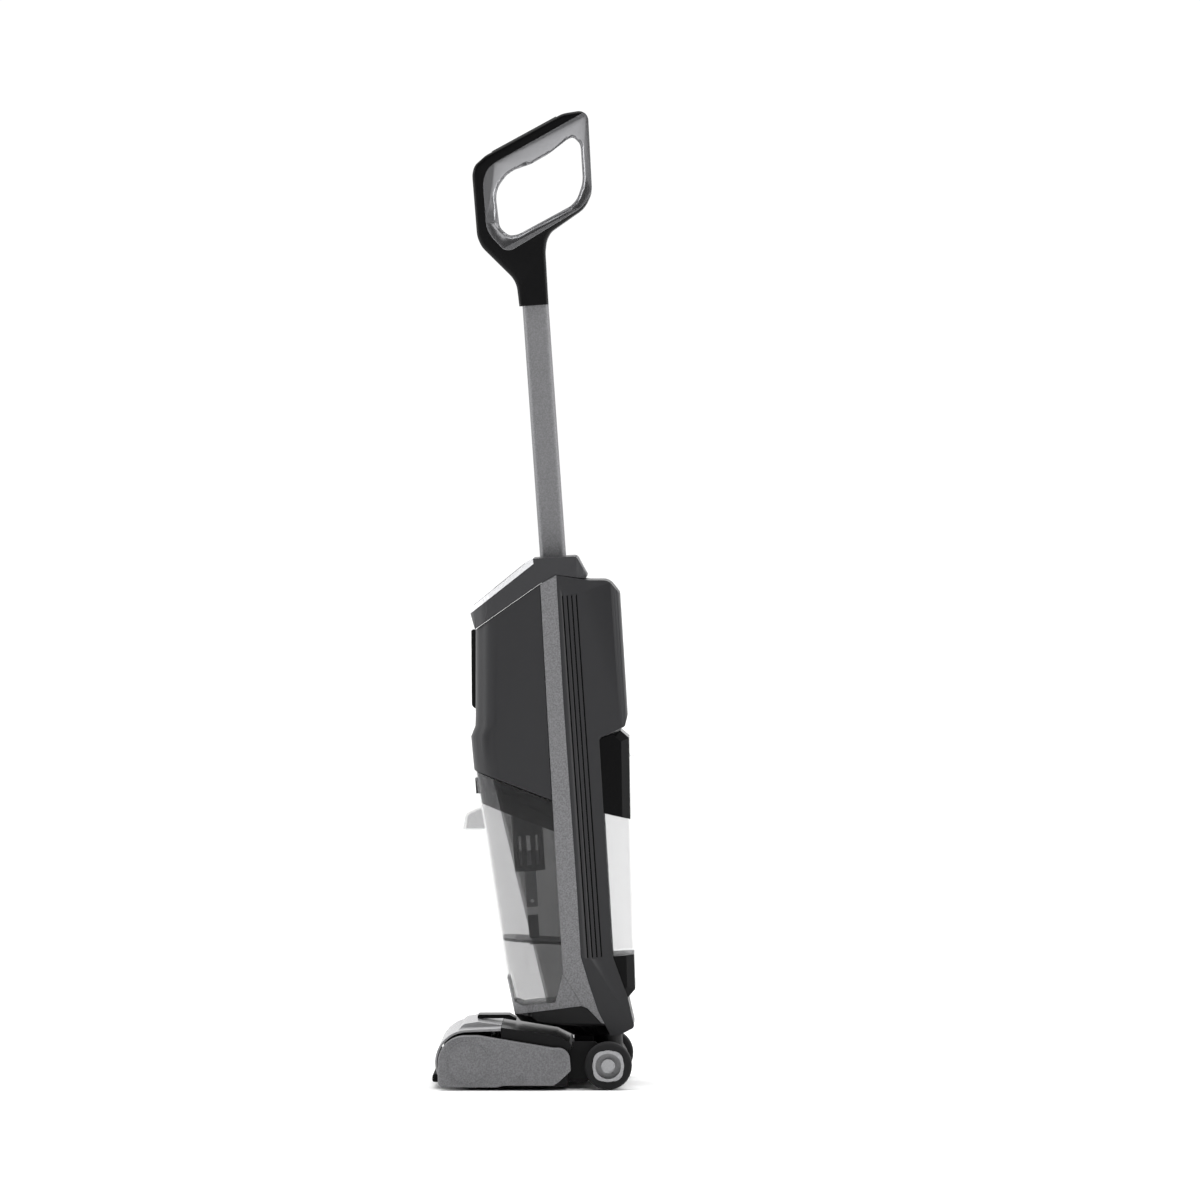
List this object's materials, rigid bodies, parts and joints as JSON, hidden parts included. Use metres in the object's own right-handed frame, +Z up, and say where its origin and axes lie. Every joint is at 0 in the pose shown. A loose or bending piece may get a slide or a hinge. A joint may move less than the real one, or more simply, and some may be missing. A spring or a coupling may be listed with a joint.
{
  "type": "wet dry floor scrubber",
  "caption": "Upright cordless wet and dry floor scrubber with a roller head, clear dirty tank, removable clean tank and a looped handle on a metal tube.",
  "frame": {"origin": "middle of the footprint on the floor", "axes": "+Z up, -Y the way the machine faces when it is pushed, X across its width"},
  "size_m": [0.2724, 0.2313, 1.1171],
  "materials": {
    "grey_shell": "fine metallic satin plastic",
    "silver_shell": "fine metallic satin plastic",
    "dark_shell": "satin",
    "black_shell": "satin",
    "black_gloss": "gloss",
    "light_hood": "satin gloss",
    "bezel_silver": "satin silver paint",
    "frame_bright": "satin silver paint",
    "tube_metal": "anodised satin",
    "clear_plastic": "clear moulded plastic",
    "lens_black": "gloss",
    "tyre_rubber": "matt",
    "soft_rubber": "matt",
    "brush_fibre": "short pile",
    "steel": "bright",
    "inner_grey": "plain",
    "cast_black": "plain",
    "cell_blue": "wrapped",
    "motor_metal": "plated",
    "filter_white": "pleated",
    "float_light": "plain"
  },
  "bodies": {
    "head": {"head_chassis": "cast_black", "head_top_cover": "black_shell", "side_cover_left": "grey_shell", "side_cover_right": "grey_shell", "head_screws": "steel", "suction_duct": "cast_black", "squeegee": "soft_rubber", "spray_bar": "inner_grey", "brush_motor": "motor_metal", "drive_belt": "soft_rubber", "axle_carrier": "cast_black", "wheel_axles": "steel"},
    "brush": {"brush_core": "inner_grey", "brush_pile": "brush_fibre", "brush_pulley": "inner_grey"},
    "motor_drive": {"motor_pulley": "steel"},
    "hood": {"brush_hood": "light_hood", "front_bumper": "soft_rubber"},
    "latch": {"hood_latch": "black_gloss"},
    "wheel_left": {"tyre_left": "tyre_rubber", "hub_left": "grey_shell"},
    "wheel_right": {"tyre_right": "tyre_rubber", "hub_right": "grey_shell"},
    "rollers": {"support_rollers": "inner_grey"},
    "neck": {"neck_yoke": "cast_black"},
    "body": {"body_base": "dark_shell", "tank_cradle": "silver_shell", "side_strip_left": "silver_shell", "side_strip_right": "silver_shell", "rear_shell": "dark_shell", "inner_frame": "cast_black", "front_cover": "dark_shell", "front_trim": "black_gloss", "display_housing": "black_shell", "display_frame": "frame_bright", "display_lens": "lens_black", "suction_motor": "motor_metal", "battery_pack": "cell_blue", "water_pump": "inner_grey", "riser_duct": "cast_black"},
    "handle": {"handle_tube": "tube_metal", "handle_shell_left": "black_shell", "handle_shell_right": "black_shell", "handle_bezel": "bezel_silver", "grip_pad": "soft_rubber"},
    "fan": {"fan_impeller": "inner_grey"},
    "handle_release": {"handle_release_button": "grey_shell"},
    "power_key": {"power_button": "soft_rubber"},
    "mode_key": {"mode_button": "soft_rubber"},
    "clean_key": {"clean_button": "soft_rubber"},
    "dirty_tank_unit": {"dirty_tank": "clear_plastic", "tank_lid": "black_shell", "air_filter": "filter_white", "float_cage": "black_shell", "strainer": "black_shell"},
    "float": {"tank_float": "float_light"},
    "tank_release": {"tank_release_button": "black_gloss"},
    "clean_tank_unit": {"clean_tank": "clear_plastic", "clean_tank_top": "black_gloss", "clean_tank_base": "black_gloss"}
  },
  "joints": [
    {"name": "recline", "type": "hinge", "parent": "head", "child": "neck", "pos_m": [0, 0.0845, 0.027], "axis": [-1, 0, 0], "range_deg": [0, 70]},
    {"name": "swivel", "type": "hinge", "parent": "neck", "child": "body", "pos_m": [0, 0.0845, 0.027], "axis": [0, -0.0698, 0.9976], "range_deg": [-30, 30]},
    {"name": "wheel_left_spin", "type": "hinge", "parent": "head", "child": "wheel_left", "pos_m": [-0.115, 0.0845, 0.027], "axis": [1, 0, 0], "continuous": true},
    {"name": "wheel_right_spin", "type": "hinge", "parent": "head", "child": "wheel_right", "pos_m": [0.115, 0.0845, 0.027], "axis": [1, 0, 0], "continuous": true},
    {"name": "rollers_spin", "type": "hinge", "parent": "head", "child": "rollers", "pos_m": [0, -0.0345, 0.006], "axis": [1, 0, 0], "continuous": true},
    {"name": "brush_spin", "type": "hinge", "parent": "head", "child": "brush", "pos_m": [0, -0.076, 0.0305], "axis": [1, 0, 0], "continuous": true},
    {"name": "motor_spin", "type": "hinge", "parent": "head", "child": "motor_drive", "pos_m": [0, 0.008, 0.032], "axis": [1, 0, 0], "continuous": true},
    {"name": "hood_lift", "type": "slide", "parent": "head", "child": "hood", "axis": [0, -0.7071, 0.7071], "range_m": [0, 0.04]},
    {"name": "latch_slide", "type": "slide", "parent": "hood", "child": "latch", "axis": [0, -1, 0], "range_m": [0, 0.004], "stiffness_N_per_m": 300, "springref_m": -0.001},
    {"name": "handle_slide", "type": "slide", "parent": "body", "child": "handle", "axis": [0, -0.0698, 0.9976], "range_m": [0, 0.035]},
    {"name": "handle_release_press", "type": "slide", "parent": "body", "child": "handle_release", "axis": [0, -0.8763, -0.4818], "range_m": [0, 0.003], "stiffness_N_per_m": 500, "springref_m": -0.001},
    {"name": "power_press", "type": "slide", "parent": "handle", "child": "power_key", "axis": [0, 0.9976, 0.0698], "range_m": [0, 0.0012], "stiffness_N_per_m": 500, "springref_m": -0.001},
    {"name": "mode_press", "type": "slide", "parent": "handle", "child": "mode_key", "axis": [0, 0.9976, 0.0698], "range_m": [0, 0.0012], "stiffness_N_per_m": 500, "springref_m": -0.001},
    {"name": "clean_press", "type": "slide", "parent": "handle", "child": "clean_key", "axis": [0, 0.9976, 0.0698], "range_m": [0, 0.0012], "stiffness_N_per_m": 500, "springref_m": -0.001},
    {"name": "dirty_tank_tilt", "type": "hinge", "parent": "body", "child": "dirty_tank_unit", "pos_m": [0, -0.03049, 0.12321], "axis": [1, 0, 0], "range_deg": [0, 12]},
    {"name": "tank_release_press", "type": "slide", "parent": "dirty_tank_unit", "child": "tank_release", "axis": [0, 0.9976, 0.0698], "range_m": [0, 0.003], "stiffness_N_per_m": 500, "springref_m": -0.001},
    {"name": "float_rise", "type": "slide", "parent": "dirty_tank_unit", "child": "float", "axis": [0, -0.0698, 0.9976], "range_m": [0, 0.028]},
    {"name": "clean_tank_slide", "type": "slide", "parent": "body", "child": "clean_tank_unit", "axis": [0, 0.9976, 0.0698], "range_m": [0, 0.07]},
    {"name": "fan_spin", "type": "hinge", "parent": "body", "child": "fan", "pos_m": [0, -0.01513, 0.39094], "axis": [0, -0.0698, 0.9976], "continuous": true}
  ],
  "couplings": [
    {"joint": "motor_spin", "follows": "brush_spin", "ratio": 2}
  ]
}
